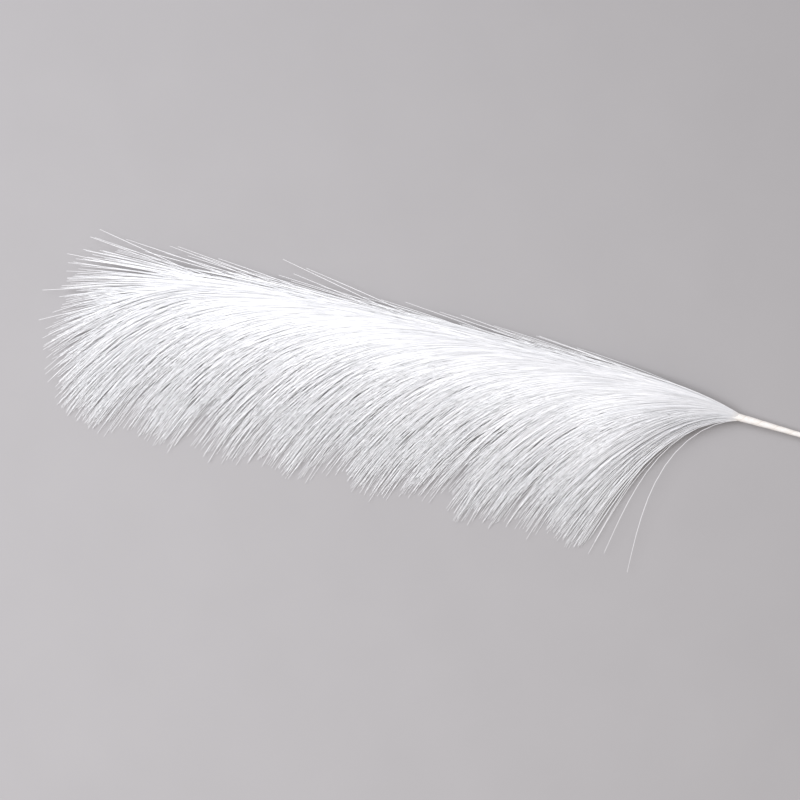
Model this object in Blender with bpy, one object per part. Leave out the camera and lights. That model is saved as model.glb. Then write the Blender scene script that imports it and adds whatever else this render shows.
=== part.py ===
"""Artificial ostrich feather lying on a table: a plume of fine white filaments bound along a tape-wrapped stem.

Units are metres, +Z up, the table is z = 0. +X runs from the plume's tip to the cut end of the stem, and the
filaments droop towards -Y. The origin is on the resting face, under the stem, 200 mm from the plume's base.
"""

import random
from collections import namedtuple
from math import cos, pi, radians, sin

import bmesh
import bpy
from mathutils import Vector

# Stem: a wire wrapped in paper tape, which runs inside the plume for most of its length
BASE_X = 0.200  # where the filaments begin
BARE_STEM = 0.150  # from there to the cut end
STEM_INSIDE = 0.370  # length of stem that carries filaments
CUT_X = BASE_X + BARE_STEM
INNER_X = BASE_X - STEM_INSIDE
STEM_RADIUS = 0.0018
STEM_RADIUS_AT_BASE = 0.0021
THICK_REACH = 0.045  # the stem is thicker this far on both sides of the plume's base
STEM_BOW = 0.003  # sideways bow of the stem in plan
BOW_CENTRE_X = 0.090
BOW_REACH = 0.175
STEM_POINTS = 53
STEM_SIDES = 12
GAP = 0.0003  # clearance between the stem and the plume bound round it

# Height of the stem's centre line above the table
SPINE_Z = 0.0135
FALL_START_X = 0.100
FALL_POWER = 1.6
TIP_FALL = 0.002

# Core: the dense mass of filaments that hides the stem. Each pair is a distance from the base and a radius
CORE_PROFILE = [
    (-0.002, 0.0034),
    (0.006, 0.0050),
    (0.020, 0.0078),
    (0.045, 0.0110),
    (0.085, 0.0138),
    (0.140, 0.0145),
    (0.200, 0.0145),
    (0.260, 0.0142),
    (0.310, 0.0130),
    (0.350, 0.0108),
    (0.385, 0.0072),
    (0.412, 0.0025),
]
CORE_SIDES = 14

# Shoulder: the dense slope of filaments between the core and the fringe. Each row is a distance from the base,
# a distance beside the stem, a height and a half width
SHOULDER_PROFILE = [
    (0.035, 0.010, 0.0085, 0.0060),
    (0.070, 0.018, 0.0085, 0.0140),
    (0.120, 0.024, 0.0085, 0.0200),
    (0.200, 0.026, 0.0085, 0.0220),
    (0.280, 0.026, 0.0085, 0.0220),
    (0.340, 0.024, 0.0080, 0.0200),
    (0.385, 0.020, 0.0075, 0.0150),
    (0.415, 0.016, 0.0070, 0.0070),
]
SHOULDER_SIDES = 10
SHOULDER_FLATNESS = 0.42

# Locks: clumps of filaments. A lock leaves the stem at an angle and droops, most of all near its root
LOCK_POINTS = 7
LOCK_SIDES = 6
LOCK_FLATNESS = 0.6  # thickness of a lock over its width
WIDEST_AT = 0.4  # share of a lock's length
ROOT_SHARE = 0.5  # width at the root over the greatest width
TIP_SHARE = 0.4
STEPS_PER_POINT = 6
DROOP_POWER = 2.2  # over 1, the droop comes early
LENGTH_JITTER = 0.05
ANGLE_JITTER = 1.2
SEED = 5

# A lock is its root's distance along the stem, its starting angle and its droop in degrees, its length, its root's
# place beside and above the stem in core radii, its height at middle and tip, and its greatest half width
Lock = namedtuple("Lock", "station start droop length aside up middle_z tip_z half_width")

# Each family runs evenly from its first lock to its last one
FAMILIES = {
    "fringe on the table": (
        30,
        Lock(0.004, 13, 57, 0.146, -0.2, 0.0, 0.0030, 0.0014, 0.0078),
        Lock(0.352, 11, 57, 0.154, -0.2, 0.0, 0.0035, 0.0014, 0.0088),
    ),
    "lower half of the tip": (
        7,
        Lock(0.366, 13, 54, 0.147, -0.2, 0.0, 0.0040, 0.0016, 0.0084),
        Lock(0.370, 2, 26, 0.126, 0.1, 0.1, 0.0080, 0.0040, 0.0080),
    ),
    "upper half of the tip": (
        6,
        Lock(0.368, -1, 18, 0.122, 0.2, 0.2, 0.0100, 0.0060, 0.0074),
        Lock(0.345, -8, 6, 0.110, 0.5, 0.3, 0.0130, 0.0100, 0.0056),
    ),
    "upper layer": (
        17,
        Lock(0.008, 5, 55, 0.134, -0.1, 0.5, 0.0200, 0.0050, 0.0066),
        Lock(0.345, 1, 53, 0.138, -0.1, 0.8, 0.0260, 0.0060, 0.0080),
    ),
    "back edge": (
        9,
        Lock(0.003, -16, 19, 0.118, 0.4, 0.2, 0.0170, 0.0130, 0.0050),
        Lock(0.300, -7, 10, 0.118, 0.8, 0.2, 0.0150, 0.0120, 0.0054),
    ),
    "loose at the base": (
        2,
        Lock(-0.002, 14, 74, 0.144, -0.2, 0.0, 0.0070, 0.0030, 0.0020),
        Lock(0.002, 14, 68, 0.143, -0.2, 0.0, 0.0070, 0.0030, 0.0024),
    ),
    "loose at the back": (
        3,
        Lock(0.130, -8, 2, 0.128, 0.3, 0.2, 0.0150, 0.0090, 0.0036),
        Lock(0.206, -8, 0, 0.133, 0.3, 0.2, 0.0130, 0.0080, 0.0032),
    ),
}

# Block that trims the plume flat where it lies on the table
TRIM_SIZE = (0.8, 0.5, 0.05)

FILAMENT_COLOUR = (0.90, 0.92, 0.95, 1.0)
TAPE_COLOUR = (0.86, 0.82, 0.76, 1.0)


def clear_scene():
    for thing in list(bpy.data.objects):
        bpy.data.objects.remove(thing)


def add(name, data):
    thing = bpy.data.objects.new(name, data)
    bpy.context.scene.collection.objects.link(thing)
    return thing


def finish_material(name, colour, roughness):
    material = bpy.data.materials.new(name)
    material.use_nodes = True
    shader = material.node_tree.nodes["Principled BSDF"]
    shader.inputs["Base Color"].default_value = colour
    shader.inputs["Roughness"].default_value = roughness
    shader.inputs["Metallic"].default_value = 0.0
    return material


def spine(x):
    """The stem's centre line over a place along X: bowed in plan, down on the table at the cut end."""
    bow = STEM_BOW * (1 - ((x - BOW_CENTRE_X) / BOW_REACH) ** 2)
    outward = max(0.0, x - FALL_START_X) / (CUT_X - FALL_START_X)
    inward = max(0.0, -x) / -INNER_X
    fall = (SPINE_Z - STEM_RADIUS) * outward**FALL_POWER + TIP_FALL * inward**2
    return Vector((x, bow, SPINE_Z - fall))


def stem_radius(x):
    nearness = max(0.0, 1 - abs(x - BASE_X) / THICK_REACH)
    return STEM_RADIUS + (STEM_RADIUS_AT_BASE - STEM_RADIUS) * nearness


def ring_outline(name, sides, width, height):
    """A closed outline for curves to be swept with."""
    outline = bpy.data.curves.new(name, "CURVE")
    outline.dimensions = "2D"
    spline = outline.splines.new("POLY")
    spline.points.add(sides - 1)
    for i, point in enumerate(spline.points):
        angle = 2 * pi * (i + 0.5) / sides
        point.co = (width * cos(angle), height * sin(angle), 0, 1)
    spline.use_cyclic_u = True
    return add(name, outline)


def swept(name, outline, paths):
    """A closed mesh of tubes, one for each path of (point, radius) pairs, all with the same outline."""
    curve = bpy.data.curves.new(name, "CURVE")
    curve.dimensions = "3D"
    curve.twist_mode = "Z_UP"
    curve.bevel_mode = "OBJECT"
    curve.bevel_object = outline
    curve.use_fill_caps = True
    for path in paths:
        spline = curve.splines.new("POLY")
        spline.points.add(len(path) - 1)
        for point, (place, radius) in zip(spline.points, path):
            point.co = (*place, 1)
            point.radius = radius
    tubes = add(name + "_curve", curve)
    mesh = bpy.data.meshes.new_from_object(tubes.evaluated_get(bpy.context.evaluated_depsgraph_get()))
    bpy.data.objects.remove(tubes)
    work = bmesh.new()
    work.from_mesh(mesh)
    bmesh.ops.remove_doubles(work, verts=work.verts, dist=1e-6)
    bmesh.ops.recalc_face_normals(work, faces=work.faces)
    work.to_mesh(mesh)
    work.free()
    return add(name, mesh)


def core_radius(station):
    """The core's radius at a distance from the base, read between the rows of its profile."""
    for (near, small), (far, large) in zip(CORE_PROFILE, CORE_PROFILE[1:]):
        if station <= far:
            return small + (large - small) * (station - near) / (far - near)
    return CORE_PROFILE[-1][1]


def lock_path(lock, jitter):
    """Points and radii of one lock, stepped along the heading that its droop gives it."""
    start = lock.start + ANGLE_JITTER * jitter.uniform(-1, 1)
    length = lock.length * (1 + LENGTH_JITTER * jitter.uniform(-1, 1))
    place = spine(BASE_X - lock.station)
    place += core_radius(lock.station) * Vector((0, lock.aside, lock.up))
    root_z = place.z
    path = []
    steps = (LOCK_POINTS - 1) * STEPS_PER_POINT
    for step in range(steps + 1):
        t = step / steps
        if step % STEPS_PER_POINT == 0:
            height = (1 - t) ** 2 * root_z + 2 * t * (1 - t) * lock.middle_z + t**2 * lock.tip_z
            if t < WIDEST_AT:
                share = ROOT_SHARE + (1 - ROOT_SHARE) * sin(pi / 2 * t / WIDEST_AT)
            else:
                share = TIP_SHARE + (1 - TIP_SHARE) * cos(pi / 2 * (t - WIDEST_AT) / (1 - WIDEST_AT))
            path.append((Vector((place.x, place.y, height)), lock.half_width * share))
        heading = radians(start + lock.droop * (1 - (1 - t) ** DROOP_POWER))
        place = place - length / steps * Vector((cos(heading), sin(heading), 0))
    return path


def all_locks():
    jitter = random.Random(SEED)
    paths = []
    for count, first, last in FAMILIES.values():
        for i in range(count):
            share = i / (count - 1)
            paths.append(lock_path(Lock(*(a + (b - a) * share for a, b in zip(first, last))), jitter))
    return paths


def shoulder_path():
    path = []
    for station, beside, height, half_width in SHOULDER_PROFILE:
        stem = spine(BASE_X - station)
        path.append((Vector((stem.x, stem.y - beside, height)), half_width))
    return path


def cut_or_join(target, other, operation, with_itself=False):
    step = target.modifiers.new(operation.lower(), "BOOLEAN")
    step.operation = operation
    step.solver = "EXACT"
    step.use_self = with_itself
    step.object = other


def as_guide(*things):
    """Marks outlines and cutters, which aren't pieces of the feather."""
    for thing in things:
        thing.hide_render = True
        thing.display_type = "WIRE"


def keep_outer_shell(work):
    """Deletes the small pockets that crossing locks close off between them."""
    left, largest = set(work.faces), set()
    while left:
        island, edge_of = set(), [left.pop()]
        while edge_of:
            face = edge_of.pop()
            island.add(face)
            for near in (f for e in face.edges for f in e.link_faces if f in left):
                left.discard(near)
                edge_of.append(near)
        largest = max(largest, island, key=len)
    bmesh.ops.delete(work, geom=[f for f in work.faces if f not in largest], context="FACES")


def fused_plume():
    """The core, its shoulder and its locks as one closed body."""
    outlines = [
        ring_outline("core_outline", CORE_SIDES, 1, 1),
        ring_outline("shoulder_outline", SHOULDER_SIDES, 1, SHOULDER_FLATNESS),
        ring_outline("lock_outline", LOCK_SIDES, 1, LOCK_FLATNESS),
    ]
    core = swept("core", outlines[0], [[(spine(BASE_X - s), r) for s, r in CORE_PROFILE]])
    shoulder = swept("shoulder", outlines[1], [shoulder_path()])
    locks = swept("locks", outlines[2], all_locks())
    cut_or_join(core, shoulder, "UNION")
    cut_or_join(core, locks, "UNION", with_itself=True)
    bpy.context.view_layer.update()
    mesh = bpy.data.meshes.new_from_object(core.evaluated_get(bpy.context.evaluated_depsgraph_get()))
    work = bmesh.new()
    work.from_mesh(mesh)
    keep_outer_shell(work)
    work.to_mesh(mesh)
    work.free()
    for spent in (core, shoulder, locks, *outlines):
        bpy.data.objects.remove(spent)
    return add("plume", mesh)


def trim_block():
    """A block under the table's surface."""
    mesh = bpy.data.meshes.new("table_trim")
    work = bmesh.new()
    bmesh.ops.create_cube(work, size=1)
    bmesh.ops.scale(work, vec=TRIM_SIZE, verts=work.verts)
    bmesh.ops.translate(work, vec=(0, 0, -TRIM_SIZE[2] / 2), verts=work.verts)
    work.to_mesh(mesh)
    work.free()
    return add("table_trim", mesh)


def stem_path(extra_radius=0.0, past_end=0.0):
    first, last = CUT_X, INNER_X - past_end
    places = [first + (last - first) * i / (STEM_POINTS - 1) for i in range(STEM_POINTS)]
    return [(spine(x), stem_radius(x) + extra_radius) for x in places]


def smooth(thing, material, sharp=40):
    thing.data.materials.clear()
    thing.data.materials.append(material)
    thing.data.shade_smooth()
    thing.data.set_sharp_from_angle(angle=radians(sharp))


def build():
    clear_scene()
    tape = finish_material("white paper tape", TAPE_COLOUR, 0.8)
    filament = finish_material("white filament", FILAMENT_COLOUR, 0.45)

    plume = fused_plume()
    tube_outline = ring_outline("stem_outline", STEM_SIDES, 1, 1)
    stem = swept("stem", tube_outline, [stem_path()])
    channel = swept("stem_channel", tube_outline, [stem_path(GAP, past_end=GAP)])
    table_trim = trim_block()
    as_guide(tube_outline, channel, table_trim)
    cut_or_join(plume, table_trim, "DIFFERENCE")
    cut_or_join(plume, channel, "DIFFERENCE")

    smooth(stem, tape)
    smooth(plume, filament)


build()
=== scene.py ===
# %% [markdown]
# # An artificial ostrich feather
# The real object is a plume for a vase: thousands of fine white polyester filaments, bound along a steel
# wire with paper tape. This script dresses its plain solid model. The solids give the sizes and the places,
# and every piece made below stays where they are.

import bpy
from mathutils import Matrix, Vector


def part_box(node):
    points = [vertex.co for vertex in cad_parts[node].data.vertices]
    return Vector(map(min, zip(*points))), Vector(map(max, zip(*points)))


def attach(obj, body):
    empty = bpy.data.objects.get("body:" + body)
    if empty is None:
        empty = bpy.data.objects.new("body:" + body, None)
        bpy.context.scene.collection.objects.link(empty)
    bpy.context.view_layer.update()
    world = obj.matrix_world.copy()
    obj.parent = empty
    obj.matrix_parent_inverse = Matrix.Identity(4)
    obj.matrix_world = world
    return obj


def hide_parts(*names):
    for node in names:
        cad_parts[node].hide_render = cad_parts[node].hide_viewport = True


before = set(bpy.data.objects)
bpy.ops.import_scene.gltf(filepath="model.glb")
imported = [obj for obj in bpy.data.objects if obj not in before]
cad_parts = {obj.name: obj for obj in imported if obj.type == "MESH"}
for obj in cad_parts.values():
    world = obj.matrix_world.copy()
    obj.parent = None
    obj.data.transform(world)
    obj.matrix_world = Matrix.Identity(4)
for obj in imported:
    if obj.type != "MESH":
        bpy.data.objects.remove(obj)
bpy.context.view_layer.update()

# %% [markdown]
# ## Tools and units
# Blender works in metres. Small sizes are easier to read in millimetres, so one named value turns them to
# metres.

# %% Tools and units
from collections import namedtuple

import bmesh
import bpy
import numpy as np
from mathutils import Matrix, Vector

MM = 0.001
plume_low, plume_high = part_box("plume")
stem_low, stem_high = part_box("stem")
plume_size = [round((high - low) / MM) for low, high in zip(plume_low, plume_high)]
print("plume:", plume_size, "mm long, wide and high")

# %% [markdown]
# ## The stem's line
# The stem looks straight, but a bent wire never is. It bows 3 mm sideways in plan. From the plume's base to
# its cut end it sinks to the table, because the plume holds it up and its own weight pulls it down. The same
# line carries the filaments, so it is written once, as a function of X that takes many places at a time. Its
# values are those of the solid model, and the print compares the two.

# %% The stem's line
BASE_X = 0.200  # where the filaments begin
CUT_X = 0.350  # the stem's cut end
INNER_X = -0.170  # its other end, hidden in the plume
STEM_RADIUS = 1.8 * MM
STEM_RADIUS_AT_BASE = 2.1 * MM
THICK_REACH = 45 * MM
STEM_BOW = 3 * MM
BOW_CENTRE_X = 0.090
BOW_REACH = 0.175
SPINE_Z = 13.5 * MM
FALL_START_X = 0.100
FALL_POWER = 1.6
TIP_FALL = 2 * MM


def spine(x):
    """Points of the stem's centre line over these places along X."""
    x = np.asarray(x, float)
    bow = STEM_BOW * (1 - ((x - BOW_CENTRE_X) / BOW_REACH) ** 2)
    outward = np.maximum(0, x - FALL_START_X) / (CUT_X - FALL_START_X)
    inward = np.maximum(0, -x) / -INNER_X
    fall = (SPINE_Z - STEM_RADIUS) * outward**FALL_POWER + TIP_FALL * inward**2
    return np.stack([x, bow, SPINE_Z - fall], axis=-1)


def stem_radius(x):
    nearness = np.maximum(0, 1 - np.abs(x - BASE_X) / THICK_REACH)
    return STEM_RADIUS + (STEM_RADIUS_AT_BASE - STEM_RADIUS) * nearness


solid_length = round((stem_high[0] - stem_low[0]) / MM)
print("stem:", round((CUT_X - INNER_X) / MM), "mm here and", solid_length, "in the solid")

# %% [markdown]
# ## How one filament runs
# A filament leaves the stem at a small angle and bends over to one side, most of all near its root, where it
# carries its whole length. Seen from above, its heading is a starting angle plus a droop that comes quickly
# at first and then eases off. Walking along that heading in small steps gives the curve. A curve object with
# a bevel could draw one filament too, but thousands of them are quicker to work out together as arrays. The
# height is simpler: a Bezier curve from the root through a middle height to the tip's height.

# %% Paths of many filaments at once
POINTS = 13  # points kept on each filament
CROWDING = 1.15  # over 1, they are closer together near the root, where it bends most
FINE_STEPS = 96
DROOP_POWER = 2.2
LOWEST = 0.5 * MM  # no filament's centre goes nearer to the table

fine_share = np.linspace(0, 1, FINE_STEPS + 1)
kept = np.round((np.arange(POINTS) / (POINTS - 1)) ** CROWDING * FINE_STEPS).astype(int)
share = fine_share[kept]


def walked(each_step):
    """The distance walked at each kept point, from a row of steps for each filament."""
    total = np.cumsum(each_step, axis=1)
    return np.concatenate([np.zeros((len(total), 1)), total], axis=1)[:, kept]


def filament_paths(root, start, droop, length, middle_z, tip_z):
    """Points of each filament, as an array of filaments by points by x, y and z."""
    heading = np.radians(start[:, None] + droop[:, None] * (1 - (1 - fine_share[:-1]) ** DROOP_POWER))
    step = length[:, None] / FINE_STEPS
    x = root[:, :1] - walked(np.cos(heading) * step)
    y = root[:, 1:2] - walked(np.sin(heading) * step)
    from_middle = 2 * share * (1 - share) * middle_z[:, None]
    z = (1 - share) ** 2 * root[:, 2:] + from_middle + share**2 * tip_z[:, None]
    return np.stack([x, y, np.maximum(z, LOWEST)], axis=-1)


print("a filament has", POINTS, "points, at these shares of its length:", np.round(share, 2))

# %% [markdown]
# ## Scallops and partings
# The fringe's edge isn't straight. Over every few centimetres of stem the filaments reach a little further
# or less far, and in places they part and leave a notch. Both depend on the station, which is the distance
# along the stem from the plume's base. Waves of different lengths give the scallops. Each parting turns the
# filaments on its two sides away from each other, and short waves of angle gather the rest into loose
# bundles.

# %% Scallops and partings
Wave = namedtuple("Wave", "length phase size")
# A scallop's size is a share of a filament's length, and a bundle's is in degrees.
SCALLOPS = [Wave(0.047, 0.8, 0.026), Wave(0.071, 2.1, 0.018), Wave(0.023, 4.0, 0.012)]
BUNDLES = [Wave(0.0062, 0.3, 0.3), Wave(0.0130, 2.0, 0.4), Wave(0.0290, 1.1, 0.6)]
PARTINGS = {0.045: 1.5, 0.096: 6.5, 0.172: 3.5, 0.222: 1.5, 0.272: 3.5, 0.322: 2.5}  # station and degrees
PARTING_REACH = 14 * MM


def waves(station, several):
    return sum(w.size * np.sin(2 * np.pi * station / w.length + w.phase) for w in several)


def turned_aside(station):
    """Degrees by which filaments rooted here turn towards the fringe."""
    turn = waves(station, BUNDLES)
    for place, angle in PARTINGS.items():
        away = station - place
        turn = turn - angle * np.sign(away) * np.exp(-np.abs(away) / PARTING_REACH)
    return turn


along_stem = np.linspace(0, BASE_X - INNER_X, 200)
print("scallops:", round(100 * float(np.ptp(waves(along_stem, SCALLOPS))), 1), "% of a filament's length")

# %% [markdown]
# ## Which way a filament goes
# The filaments stand all round the stem like the bristles of a brush, and were then combed over to one side.
# So the side of the stem where one is rooted decides its whole course. The side is an angle: 0 faces the
# fringe, 90 is the top and 180 faces away. Those that face the fringe run out low to the table, and those on
# top arch over them. Those at the back hardly droop, so they lie along the stem and make the dense white
# core. Numbers for five or six sides are enough, and the rest is read between them, so that neighbours
# always run side by side.

# %% Which way a filament goes
Way = namedtuple("Way", "side base_start start droop length middle_z tip_z")  # angles in degrees
ALONG_STEM = [
    Way(side=-30, base_start=13, start=11, droop=57, length=0.158, middle_z=5 * MM, tip_z=1.5 * MM),
    Way(side=30, base_start=10, start=8, droop=57, length=0.157, middle_z=13 * MM, tip_z=3 * MM),
    Way(side=80, base_start=-1, start=0, droop=56, length=0.151, middle_z=24 * MM, tip_z=7 * MM),
    Way(side=120, base_start=-9, start=-7.5, droop=32, length=0.142, middle_z=29 * MM, tip_z=12 * MM),
    Way(side=150, base_start=-13.2, start=-11.4, droop=18, length=0.132, middle_z=23 * MM, tip_z=11 * MM),
    Way(side=180, base_start=-16.2, start=-13.6, droop=15, length=0.124, middle_z=13 * MM, tip_z=6 * MM),
]
AT_TIP = [
    Way(side=0, base_start=12, start=12, droop=55, length=0.152, middle_z=7 * MM, tip_z=2 * MM),
    Way(side=45, base_start=8, start=8, droop=42, length=0.140, middle_z=12 * MM, tip_z=3 * MM),
    Way(side=90, base_start=2, start=2, droop=26, length=0.128, middle_z=18 * MM, tip_z=6 * MM),
    Way(side=135, base_start=-4, start=-4, droop=13, length=0.120, middle_z=20 * MM, tip_z=9 * MM),
    Way(side=180, base_start=-14, start=-14, droop=8, length=0.112, middle_z=16 * MM, tip_z=10 * MM),
]
BASE_REACH = 30 * MM  # over this far, the first column of angles fades into the second
SHORTER_AT_BASE = 0.06
SHORT_REACH = 60 * MM
COMBED_BACK = 5  # degrees by which the back's filaments turn in towards the stem, at its far end
BACK_SIDE = 90
STILL_SIDE = 150  # from this side on, partings don't turn a filament


def course(table, side, station):
    """Start, droop, length and two heights of filaments, by side and station."""
    sides = [way.side for way in table]
    between = (np.interp(side, sides, column) for column in zip(*table))
    _, base_start, start, droop, length, middle_z, tip_z = between
    start = start + (base_start - start) * np.exp(-station / BASE_REACH)
    start = start + COMBED_BACK * np.clip(side / BACK_SIDE - 1, 0, 1) * (station / (BASE_X - INNER_X)) ** 2
    turn = turned_aside(station) * np.clip(1 - side / STILL_SIDE, 0, 1)
    length = length * (1 - SHORTER_AT_BASE * np.exp(-station / SHORT_REACH))
    return start + turn, droop, length * (1 + waves(station, SCALLOPS)), middle_z, tip_z


print("sides with numbers of their own:", [way.side for way in ALONG_STEM])
print("and at the tip:", [way.side for way in AT_TIP])

# %% [markdown]
# ## Strands
# In the dense layers static makes filaments cling in twos, and such a strand is what the eye sees as one
# line. So each strand gets a course first, with a small scatter of its own. Its members get nearly the same
# course, and are drawn towards it on their way to the tip. In the open layers a strand has one member.

# %% A layer of strands
Layer = namedtuple("Layer", "strands members radius sides stations table")
Scatter = namedtuple("Scatter", "station side start droop length middle_z tip_z")
AMONG_STRANDS = Scatter(0.0, 0, 1.5, 1.8, 0.035, 0.8 * MM, 0.8 * MM)  # length as a share
IN_A_STRAND = Scatter(0.9 * MM, 12, 1.2, 1.2, 0.025, 0.4 * MM, 0.3 * MM)
LEAST_PULL, MOST_PULL = 0.0, 0.9
PULL_POWER = 1.2
GOLDEN = 0.618  # each strand's side is this share of the layer's range further on, so neighbours differ
BASE_CROWDING = 1.25  # over 1, roots stand closer together towards the plume's base
ROOT_DEPTH = 0.85  # roots are this share of the stem's radius from its centre line
SEED = 11
chance = np.random.default_rng(SEED)


def scattered(values, scatter):
    """The course's five values, each with its own scatter."""
    start, droop, length, middle_z, tip_z = values
    off = chance.normal(size=(5, len(start)))
    return (
        start + scatter.start * off[0],
        droop + scatter.droop * off[1],
        length * (1 - scatter.length * np.abs(off[2])),  # some are shorter, and none is longer
        middle_z + scatter.middle_z * off[3],
        tip_z + scatter.tip_z * off[4],
    )


def root_places(station, side):
    """Roots under the tape, by station and side."""
    root = spine(BASE_X - station)
    radius = stem_radius(root[:, 0]) * ROOT_DEPTH
    root[:, 1] -= radius * np.cos(np.radians(side))
    root[:, 2] += radius * np.sin(np.radians(side))
    return root


def grow(layer):
    """All the filaments of one layer: their paths, and a tone for each."""
    stem_length = BASE_X - INNER_X
    first, last = layer.stations
    place = (np.arange(layer.strands) + chance.random(layer.strands)) / layer.strands
    station = first + (last - first) * place**BASE_CROWDING
    side = layer.sides[0] + np.ptp(layer.sides) * (GOLDEN * np.arange(layer.strands) % 1)
    values = np.array(scattered(course(layer.table, side, station), AMONG_STRANDS))
    guides = filament_paths(root_places(station, side), *values)
    pull = chance.uniform(LEAST_PULL, MOST_PULL, layer.strands)
    tone = chance.random(layer.strands)

    of = np.repeat(np.arange(layer.strands), layer.members)
    own_station = np.clip(station[of] + IN_A_STRAND.station * chance.normal(size=len(of)), 0, stem_length)
    own_side = side[of] + IN_A_STRAND.side * chance.normal(size=len(of))
    paths = filament_paths(root_places(own_station, own_side), *scattered(values[:, of], IN_A_STRAND))
    paths += (guides[of] - paths) * (pull[of, None] * share**PULL_POWER)[..., None]
    return paths, tone[of]


# %% [markdown]
# ## One filament's mesh, and many of them
# Real filaments are round and a tenth of a millimetre thick. Here each is drawn about 0.35 mm thick, to
# stand for the real ones beside it. That is half a pixel, so four sides are enough. One of them lies flat on
# top, because it catches the light from above as a round filament's crown does, where an edge on top would
# leave two steep and darker sides. bmesh makes one straight filament: a square, spun with no angle, so that
# every step only moves it along. Then arrays put a copy along each path. Thousands of objects would be slow,
# and hair curves don't survive an export, but one joined mesh is read by any program.

# %% The filament to copy
SIDES = 4
TIP_RADIUS = 0.11 * MM
THINNING = 3  # a filament keeps its thickness along most of its length, and then thins quickly


def straight_tube(sides, rings):
    """A closed tube of radius 1 along Z, a flat side to +Y, whose rings lie at z = 0, 1, 2 and so on."""
    work = bmesh.new()
    flat_side_up = Matrix.Rotation(np.pi / sides, 4, "Z")
    bmesh.ops.create_circle(work, radius=1, segments=sides, matrix=flat_side_up)
    bmesh.ops.spin(work, geom=work.edges[:], axis=(0, 0, 1), dvec=(0, 0, 1), angle=0, steps=rings - 1)
    bmesh.ops.holes_fill(work, edges=work.edges)
    bmesh.ops.recalc_face_normals(work, faces=work.faces)
    return work


work = straight_tube(SIDES, POINTS)
work.verts.index_update()
tube_points = np.array([v.co for v in work.verts])
faces_along = [f for f in work.faces if abs(f.normal.z) < 0.5]
tube_faces = np.array([[v.index for v in f.verts] for f in faces_along])
tube_ends = np.array([[v.index for v in f.verts] for f in work.faces if f not in faces_along])
work.free()
tube_ring = np.round(tube_points[:, 2]).astype(int)
TRIANGLES_EACH = 2 * len(tube_faces) + (SIDES - 2) * len(tube_ends)
print("one filament:", len(tube_points), "points and", TRIANGLES_EACH, "triangles")

# %% Many filaments as one mesh
FILAMENT_MAP = "OFBake"  # the filaments' map
TONE_WIDTH = 0.004  # how far a filament's sides spread on the map


def across(paths):
    """Two directions square to each filament at each of its points: one level, one upward."""
    along = np.gradient(paths, axis=1)
    along /= np.linalg.norm(along, axis=2, keepdims=True)
    level = np.cross(along, (0, 0, 1))
    level /= np.linalg.norm(level, axis=2, keepdims=True)
    return level, np.cross(level, along)


def filament_mesh(name, paths, tone, root_radius):
    """One piece with a filament for each path. Its map holds the share along a filament, and its tone."""
    level, upward = across(paths)
    radius = (root_radius + (TIP_RADIUS - root_radius) * share[tube_ring] ** THINNING)[None, :, None]
    places = paths[:, tube_ring] + radius * (
        tube_points[:, :1] * level[:, tube_ring] + tube_points[:, 1:2] * upward[:, tube_ring]
    )
    first = (np.arange(len(paths)) * len(tube_points))[:, None, None]
    faces = (tube_faces + first).reshape(-1, 4).tolist() + (tube_ends + first).reshape(-1, SIDES).tolist()
    mesh = bpy.data.meshes.new(name)
    mesh.from_pydata(places.reshape(-1, 3), [], faces)

    corner_of = np.empty(len(mesh.loops), np.int32)
    mesh.loops.foreach_get("vertex_index", corner_of)
    on_map = np.empty((len(paths), len(tube_points), 2), np.float32)
    on_map[..., 0] = share[tube_ring]
    on_map[..., 1] = np.clip(tone, 0.01, 0.99)[:, None] + TONE_WIDTH * tube_points[:, 0]
    mesh.uv_layers.new(name=FILAMENT_MAP).data.foreach_set("uv", on_map.reshape(-1, 2)[corner_of].ravel())
    piece = bpy.data.objects.new(name, mesh)
    bpy.context.scene.collection.objects.link(piece)
    print(name + ":", len(paths), "filaments,", len(paths) * TRIANGLES_EACH, "triangles")
    return piece


# %% [markdown]
# ## The plume's layers
# Each range of sides is one layer and becomes one piece, which keeps every piece small enough to edit. A
# layer's numbers are its strands, the filaments in each, their radius, the range of sides and the range of
# stations. The counts follow the real plume, which is thin where it faces the fringe and dense at the top
# and the back. At the end of the wire the last filaments fan out instead, from the fringe's slant to
# straight on.

# %% The plume's layers
STEM_RUN = (0.0, 0.368)
CORE_RUN = (0.0, 0.305)
BACK_RUN = (0.0, 0.290)
TIP_RUN = (0.340, 0.370)
LAYERS = {
    "fringe_filaments": Layer(680, 1, 0.24 * MM, (-50, 15), STEM_RUN, ALONG_STEM),
    "over_fringe_filaments": Layer(600, 1, 0.22 * MM, (15, 60), STEM_RUN, ALONG_STEM),
    "top_filaments": Layer(1500, 1, 0.26 * MM, (60, 105), STEM_RUN, ALONG_STEM),
    "core_filaments": Layer(990, 2, 0.27 * MM, (105, 130), CORE_RUN, ALONG_STEM),
    "crest_filaments": Layer(990, 2, 0.27 * MM, (130, 158), CORE_RUN, ALONG_STEM),
    "back_filaments": Layer(110, 2, 0.23 * MM, (166, 184), BACK_RUN, ALONG_STEM),
    "tip_filaments": Layer(320, 1, 0.24 * MM, (0, 125), TIP_RUN, AT_TIP),
    "upper_tip_filaments": Layer(60, 1, 0.21 * MM, (125, 180), TIP_RUN, AT_TIP),
}
plume_pieces = [filament_mesh(name, *grow(layer), layer.radius) for name, layer in LAYERS.items()]
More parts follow.
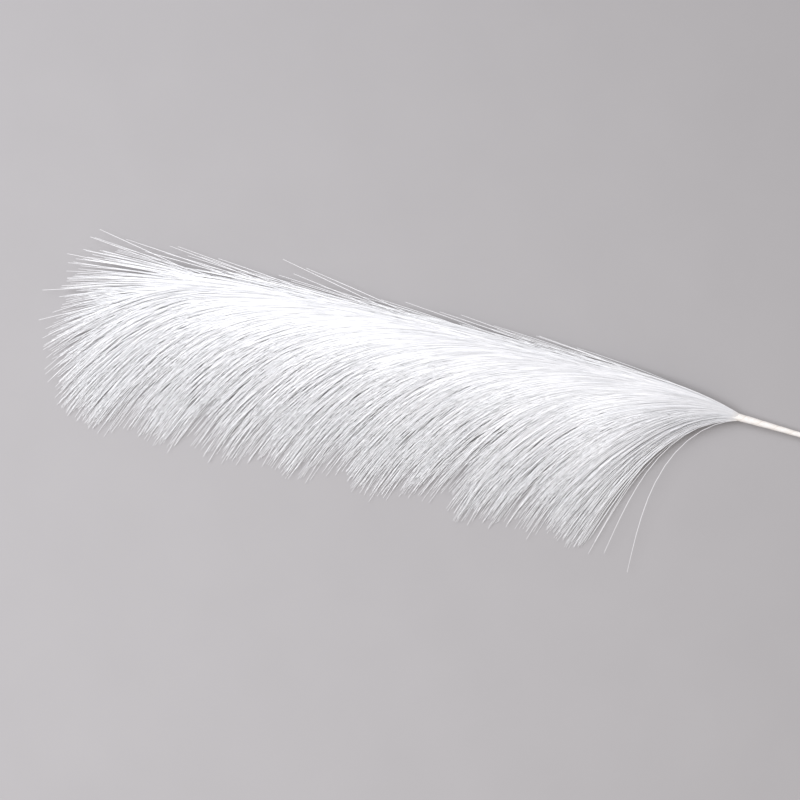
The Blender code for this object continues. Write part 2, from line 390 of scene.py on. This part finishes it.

# %% [markdown]
# ## Stray filaments
# A few filaments always escape from their neighbours, and they show most against the plain table. Chance
# would put them anywhere. Those at the plume's two ends are therefore listed one by one, and a thin scatter
# of them runs along the back edge, a little way off the core.

# %% Stray filaments
Stray = namedtuple("Stray", "station start droop length")
STRAYS = [
    Stray(0.000, 15, 77, 0.144),
    Stray(0.002, 13, 68, 0.141),
    Stray(0.004, 12, 64, 0.138),
    Stray(0.207, -11, 0, 0.134),
    Stray(0.212, -10, 2, 0.118),
    Stray(0.366, -12, 2, 0.104),
    Stray(0.366, -8, 2, 0.108),
    Stray(0.368, -2, 5, 0.118),
    Stray(0.366, 3, 14, 0.134),
    Stray(0.368, 8, 20, 0.136),
]
EDGE_COUNT = 45
EDGE_RUN = 0.330
EDGE_START, EDGE_DROOP, EDGE_LENGTH = -14, 12, 0.127
EDGE_SCATTER = Scatter(0.0, 0, 1.6, 2.0, 0.06, 2 * MM, 2 * MM)
STRAY_RADIUS = 0.23 * MM
STRAY_TONE = 0.9
STRAY_MIDDLE_Z = 12 * MM
STRAY_TIP_Z = 7 * MM

station, start, droop, length = np.array(STRAYS).T
heights = (np.full(len(STRAYS), STRAY_MIDDLE_Z), np.full(len(STRAYS), STRAY_TIP_Z))
hand_roots = root_places(station, np.where(start > 0, 0, 180))
hand_paths = filament_paths(hand_roots, start, droop, length, *heights)

station = EDGE_RUN * (np.arange(EDGE_COUNT) + chance.random(EDGE_COUNT)) / EDGE_COUNT
edge_values = (EDGE_START, EDGE_DROOP, EDGE_LENGTH, STRAY_MIDDLE_Z, STRAY_TIP_Z)
edge = [np.full(EDGE_COUNT, value) for value in edge_values]
edge_roots = root_places(station, np.full(EDGE_COUNT, 180))
edge_paths = filament_paths(edge_roots, *scattered(edge, EDGE_SCATTER))

stray_paths = np.concatenate([hand_paths, edge_paths])
stray_tones = np.full(len(stray_paths), STRAY_TONE)
plume_pieces.append(filament_mesh("stray_filaments", stray_paths, stray_tones, STRAY_RADIUS))

# %% [markdown]
# ## The taped stem
# Paper tape is wound round the wire in a spiral, and each turn laps the one before. The stem therefore has a
# low step every 12 mm that runs round it like a screw thread. It is a little thicker where the tape binds
# the first filaments. A Screw modifier would give the thread but not the stem's curved line, so the same
# straight tube as before, with more sides and rings, is bent along the line. Each point's distance from the
# line follows the tape.

# %% The taped stem
TAPE_PITCH = 12 * MM
TAPE_STEP = 0.16 * MM
TAPE_SUNK = 0.4  # share of the step by which the tape is lowered, which nearly keeps the stem's mean size
STEP_SHARE = 0.08  # of a turn's width, over which the tape's edge rises
STEM_SIDES = 28
RING_SPACING = 1.0 * MM
BINDING_BULGE = 0.5 * MM  # the tape is thicker where it binds the first filaments' roots
BINDING_REACH = 22 * MM
CUT_SOFTNESS = 0.9  # the last ring's radius over the stem's, which rounds the cut
STEM_MAP = "wound"


def wound(x, turn):
    """How far across the tape a place on the stem is, from 0 at its exposed edge to 1."""
    return np.mod(x / TAPE_PITCH + turn, 1)


def tape_height(x, turn):
    across_tape = wound(x, turn)
    return TAPE_STEP * (np.clip(across_tape / STEP_SHARE, 0, 1) * (1 - across_tape) - TAPE_SUNK)


rings = int(round((CUT_X - INNER_X) / RING_SPACING)) + 1
line = spine(np.linspace(CUT_X, INNER_X, rings))
level, upward = (each[0] for each in across(line[None]))
work = straight_tube(STEM_SIDES, rings)
stem_mesh = bpy.data.meshes.new("taped_stem")
work.to_mesh(stem_mesh)
work.free()

tube = np.empty(len(stem_mesh.vertices) * 3)
stem_mesh.vertices.foreach_get("co", tube)
tube = tube.reshape(-1, 3)
ring = np.round(tube[:, 2]).astype(int)
turn = np.arctan2(tube[:, 1], tube[:, 0]) / (2 * np.pi) % 1
x = line[ring, 0]
bulge = BINDING_BULGE * np.exp(-(((x - BASE_X) / BINDING_REACH) ** 2))
radius = (stem_radius(x) + bulge + tape_height(x, turn)) * np.where(ring == 0, CUT_SOFTNESS, 1)
places = line[ring] + radius[:, None] * (tube[:, :1] * level[ring] + tube[:, 1:2] * upward[ring])
stem_mesh.vertices.foreach_set("co", places.ravel())
stem_mesh.shade_smooth()

corner_of = np.empty(len(stem_mesh.loops), np.int32)
stem_mesh.loops.foreach_get("vertex_index", corner_of)
face_start = np.empty(len(stem_mesh.polygons), np.int32)
stem_mesh.polygons.foreach_get("loop_start", face_start)
corner_turn = turn[corner_of]
highest = np.maximum.reduceat(corner_turn, face_start)
face_of = np.repeat(np.arange(len(face_start)), np.diff(np.append(face_start, len(corner_of))))
corner_turn = corner_turn + (highest[face_of] - corner_turn > 0.5)  # faces at the seam don't run backwards
on_map = np.stack([x[corner_of] / TAPE_PITCH, corner_turn], axis=-1)
stem_mesh.uv_layers.new(name=STEM_MAP).data.foreach_set("uv", on_map.astype(np.float32).ravel())
taped_stem = bpy.data.objects.new("taped_stem", stem_mesh)
bpy.context.scene.collection.objects.link(taped_stem)
print("taped stem:", rings, "rings,", len(stem_mesh.polygons), "faces")

# %% [markdown]
# ## Helpers for the finishes
# Colours are picked as sRGB hex values, as in any paint program, and shaders want linear ones. One function
# turns them, and one more adds a node with its settings and links.

# %% A colour and a node
def linear(colour):
    """An sRGB hex colour as Blender's linear red, green, blue and alpha."""
    parts = [int(colour[i : i + 2], 16) / 255 for i in (0, 2, 4)]
    return [p / 12.92 if p <= 0.04045 else ((p + 0.055) / 1.055) ** 2.4 for p in parts] + [1.0]


def add_node(tree, kind, settings=(), inputs=()):
    """Adds a node, sets its settings, and gives each input a value or a link from another node's output."""
    node = tree.nodes.new(kind)
    for name, value in dict(settings).items():
        setattr(node, name, value)
    for name, value in dict(inputs).items():
        if isinstance(value, bpy.types.NodeSocket):
            tree.links.new(value, node.inputs[name])
        else:
            node.inputs[name].default_value = value
    return node


def new_material(name, roughness, ior):
    """A material with a Principled shader whose plain values are set, and its node tree and shader."""
    material = bpy.data.materials.new(name)
    material.use_nodes = True
    tree = material.node_tree
    shader = tree.nodes["Principled BSDF"]
    shader.inputs["Metallic"].default_value = 0.0
    shader.inputs["Roughness"].default_value = roughness
    shader.inputs["IOR"].default_value = ior
    return material, tree, shader


def ramp(tree, factor, *stops):
    """A colour ramp with a stop for each pair of a place and an sRGB hex colour."""
    node = add_node(tree, "ShaderNodeValToRGB", inputs={"Fac": factor})
    elements = node.color_ramp.elements
    while len(elements) < len(stops):
        elements.new(0.5)
    for element, (place, colour) in zip(elements, stops):
        element.position = place
        element.color = linear(colour)
    return node.outputs["Color"]


print("white in linear:", linear("FFFFFF")[0], "and mid grey:", round(linear("808080")[0], 3))

# %% [markdown]
# ## Drawn polyester filament
# Polyester filament is drawn through tiny holes, so its surface is smooth and its gloss runs along it in a
# thin line. A little titanium white makes it opaque, with a faint blue cast that makes it look cleaner. The
# map's second number is the filament's tone, which sets strands apart. Its first is the share along it: the
# root ends take a little warmth from the tape's wax. Past the root the colour holds painted light and shade:
# a filament is painted greyer where it lies pressed together with others in the shaded core, and whiter
# towards its loose end, which lies open to the light.

# %% Drawn polyester filament
POLYESTER_IOR = 1.58
filament, tree, shader = new_material("drawn_polyester_filament", roughness=0.38, ior=POLYESTER_IOR)
spot = add_node(tree, "ShaderNodeUVMap", {"uv_map": FILAMENT_MAP})
parts = add_node(tree, "ShaderNodeSeparateXYZ", inputs={0: spot.outputs["UV"]})
tone_colour = ramp(tree, parts.outputs["Y"], (0.0, "E6E7E9"), (0.5, "EEEFF0"), (1.0, "F6F6F7"))
# warm root from the tape's wax, then painted shade in the core's middle and painted light towards the open
# ends
wax_and_painted_light_colour = ramp(
    tree, parts.outputs["X"], (0.0, "E8E3DC"), (0.06, "EDEDEE"), (0.3, "EFEFF0"), (0.75, "FFFFFF")
)
both = add_node(
    tree, "ShaderNodeMix", {"data_type": "RGBA", "blend_type": "MULTIPLY"},
    {"Factor": 1.0, 6: tone_colour, 7: wax_and_painted_light_colour},
)
tree.links.new(both.outputs[2], shader.inputs["Base Color"])
for piece in plume_pieces:
    piece.data.materials.append(filament)
    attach(piece, "root")
    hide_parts("plume")
print("filament finish on", len(plume_pieces), "pieces")

# %% [markdown]
# ## Waxed paper tape
# Floral tape is crepe paper with wax in it. It is cream white and nearly matt, with fine wrinkles that run
# across the tape, and so along the stem. Its colour holds painted shade: each turn is painted darker along
# the step where it laps the turn before, which draws the spiral, and the wrinkles' hollows are painted a
# little darker too. The pattern follows the winding, so it reads the stem's own map and not its place in
# space.

# %% Waxed paper tape
WRINKLE = 0.35 * MM
WRINKLE_LENGTH = 3.0 * MM
WRINKLE_HEIGHT = 0.08 * MM
CIRCUMFERENCE = 2 * np.pi * STEM_RADIUS
tape, tree, shader = new_material("waxed_paper_tape", roughness=0.68, ior=1.45)
spot = add_node(tree, "ShaderNodeUVMap", {"uv_map": STEM_MAP})
parts = add_node(tree, "ShaderNodeSeparateXYZ", inputs={0: spot.outputs["UV"]})
winding = add_node(
    tree, "ShaderNodeMath", {"operation": "ADD"}, {0: parts.outputs["X"], 1: parts.outputs["Y"]}
)
across_tape = add_node(tree, "ShaderNodeMath", {"operation": "FRACT"}, {0: winding.outputs[0]})
# painted shade: darker along the step between turns, lightest in the middle of each turn
tape_step_painted_shade = ramp(
    tree, across_tape.outputs[0],
    (0.0, "E6E0DA"), (0.05, "F6F2EE"), (0.5, "FAF8F6"), (0.96, "F4F0EB"), (1.0, "E6E0DA"),
)
wrinkle_scale = (TAPE_PITCH / WRINKLE_LENGTH, CIRCUMFERENCE / WRINKLE, 1)
wrinkle_place = add_node(
    tree, "ShaderNodeMapping", inputs={"Vector": spot.outputs["UV"], "Scale": wrinkle_scale}
)
wrinkles = add_node(
    tree, "ShaderNodeTexNoise",
    inputs={"Vector": wrinkle_place.outputs["Vector"], "Scale": 1.0, "Detail": 3.0},
)
# painted shade in the wrinkles' hollows, from the same noise that raises them in the bump
wrinkle_painted_shade = ramp(tree, wrinkles.outputs["Fac"], (0.25, "EAE6E0"), (0.6, "FFFFFF"))
both = add_node(
    tree, "ShaderNodeMix", {"data_type": "RGBA", "blend_type": "MULTIPLY"},
    {"Factor": 0.7, 6: tape_step_painted_shade, 7: wrinkle_painted_shade},
)
tree.links.new(both.outputs[2], shader.inputs["Base Color"])
bump = add_node(
    tree, "ShaderNodeBump",
    inputs={"Height": wrinkles.outputs["Fac"], "Distance": WRINKLE_HEIGHT, "Strength": 0.6},
)
tree.links.new(bump.outputs["Normal"], shader.inputs["Normal"])
stem_mesh.materials.append(tape)
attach(taped_stem, "root")
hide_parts("stem")
print("tape finish: a wrinkle every", WRINKLE / MM, "mm, a turn every", TAPE_PITCH / MM, "mm")

# %% [markdown]
# ## The table
# The feather lies on a sheet of pale grey paper. It is the stage and not part of the object, so it only has
# to be large, matt and quiet, with a faint mottle that keeps it from looking like plastic. Its colour holds
# painted light: the paper is painted a little paler towards the picture's lower edge, away from the lamps,
# as if more light fell there.

# %% The table
TABLE_SIZE = 3.0
MOTTLE = 60 * MM
FADE_REACH = 0.35  # the paper fades from this far before the table's middle to this far beyond it
table_mesh = bpy.data.meshes.new("table")
work = bmesh.new()
bmesh.ops.create_grid(work, x_segments=1, y_segments=1, size=TABLE_SIZE / 2)
work.to_mesh(table_mesh)
work.free()
table = bpy.data.objects.new("table", table_mesh)
bpy.context.scene.collection.objects.link(table)
paper, tree, shader = new_material("pale_grey_paper", roughness=0.9, ior=1.45)
place = add_node(tree, "ShaderNodeTexCoord")
mottle = add_node(
    tree, "ShaderNodeTexNoise",
    inputs={"Vector": place.outputs["Object"], "Scale": 1 / MOTTLE, "Detail": 6.0},
)
parts = add_node(tree, "ShaderNodeSeparateXYZ", inputs={0: place.outputs["Object"]})
fade = add_node(
    tree, "ShaderNodeMapRange",
    inputs={"Value": parts.outputs["Y"], "From Min": -FADE_REACH, "From Max": FADE_REACH},
)
# painted light: paler towards the picture's lower edge, greyer towards the upper
painted_light_colour = ramp(tree, fade.outputs["Result"], (0.0, "AFADAE"), (1.0, "A19FA0"))
mottle_colour = ramp(tree, mottle.outputs["Fac"], (0.3, "FCFCFC"), (0.7, "FFFFFF"))
both = add_node(
    tree, "ShaderNodeMix", {"data_type": "RGBA", "blend_type": "MULTIPLY"},
    {"Factor": 1.0, 6: painted_light_colour, 7: mottle_colour},
)
tree.links.new(both.outputs[2], shader.inputs["Base Color"])
table_mesh.materials.append(paper)
print("table:", TABLE_SIZE, "m across")

# %% [markdown]
# ## Camera
# The camera looks straight down through a long lens, so that nothing leans away from the middle. The picture
# is 800 pixels wide and shows 0.7 mm in each. The plume's base lies at a known place in it, and the stem
# runs down to the right at 14.5 degrees, so the camera's middle and its turn follow from the two.

# %% Camera
PICTURE = 800
MM_PER_PIXEL = 0.7
BASE_PIXEL = np.array([741.0, 417.8])
ROLL = np.radians(14.5)
LENS = 100.0
SENSOR = 36.0

right = np.array([np.cos(ROLL), np.sin(ROLL)])
down = np.array([np.sin(ROLL), -np.cos(ROLL)])
from_base = PICTURE / 2 - BASE_PIXEL
base = spine(BASE_X)
middle = base[:2] + MM_PER_PIXEL * MM * (from_base[0] * right + from_base[1] * down)
height = PICTURE * MM_PER_PIXEL * MM * LENS / SENSOR
camera_data = bpy.data.cameras.new("camera")
camera_data.lens = LENS
camera_data.sensor_width = SENSOR
camera = bpy.data.objects.new("camera", camera_data)
camera.location = (*middle, base[2] + height)
camera.rotation_euler = (0, 0, ROLL)
bpy.context.scene.collection.objects.link(camera)
bpy.context.scene.camera = camera
print("camera over", np.round(middle, 3), "and", round(height, 2), "m up")

# %% [markdown]
# ## Light
# One large softbox hangs high over the picture's upper left. The plume's back edge faces it and casts no
# shadow on the table, the shadows between the filaments fall towards the fringe, and the table darkens
# gently to the right. A dimmer one hangs nearly overhead and softens them. The rest is the warm white of the
# room. The Standard view keeps white filaments white, where a film-like view would grey them.

# %% Light
def softbox(name, left, down_by, up, size, watts, colour):
    """A square light placed by the picture's left and down, turned towards the middle of the picture."""
    data = bpy.data.lights.new(name, "AREA")
    data.size = size
    data.energy = watts
    data.color = linear(colour)[:3]
    light = bpy.data.objects.new(name, data)
    light.location = (*(middle - left * right + down_by * down), up)
    light.rotation_euler = (Vector((*middle, 0)) - light.location).to_track_quat("-Z", "Y").to_euler()
    bpy.context.scene.collection.objects.link(light)
    print(name + ":", watts, "W from", np.round(light.location, 2))


softbox("overhead", left=0.75, down_by=-0.40, up=1.6, size=1.3, watts=29, colour="F7F9FF")
softbox("fill", left=0.20, down_by=0.00, up=1.9, size=1.4, watts=12, colour="FDFCFB")
room = bpy.data.worlds.new("room")
room.use_nodes = True
room.node_tree.nodes["Background"].inputs["Color"].default_value = linear("FAF3F0")
room.node_tree.nodes["Background"].inputs["Strength"].default_value = 0.42
bpy.context.scene.world = room
bpy.context.scene.view_settings.view_transform = "Standard"
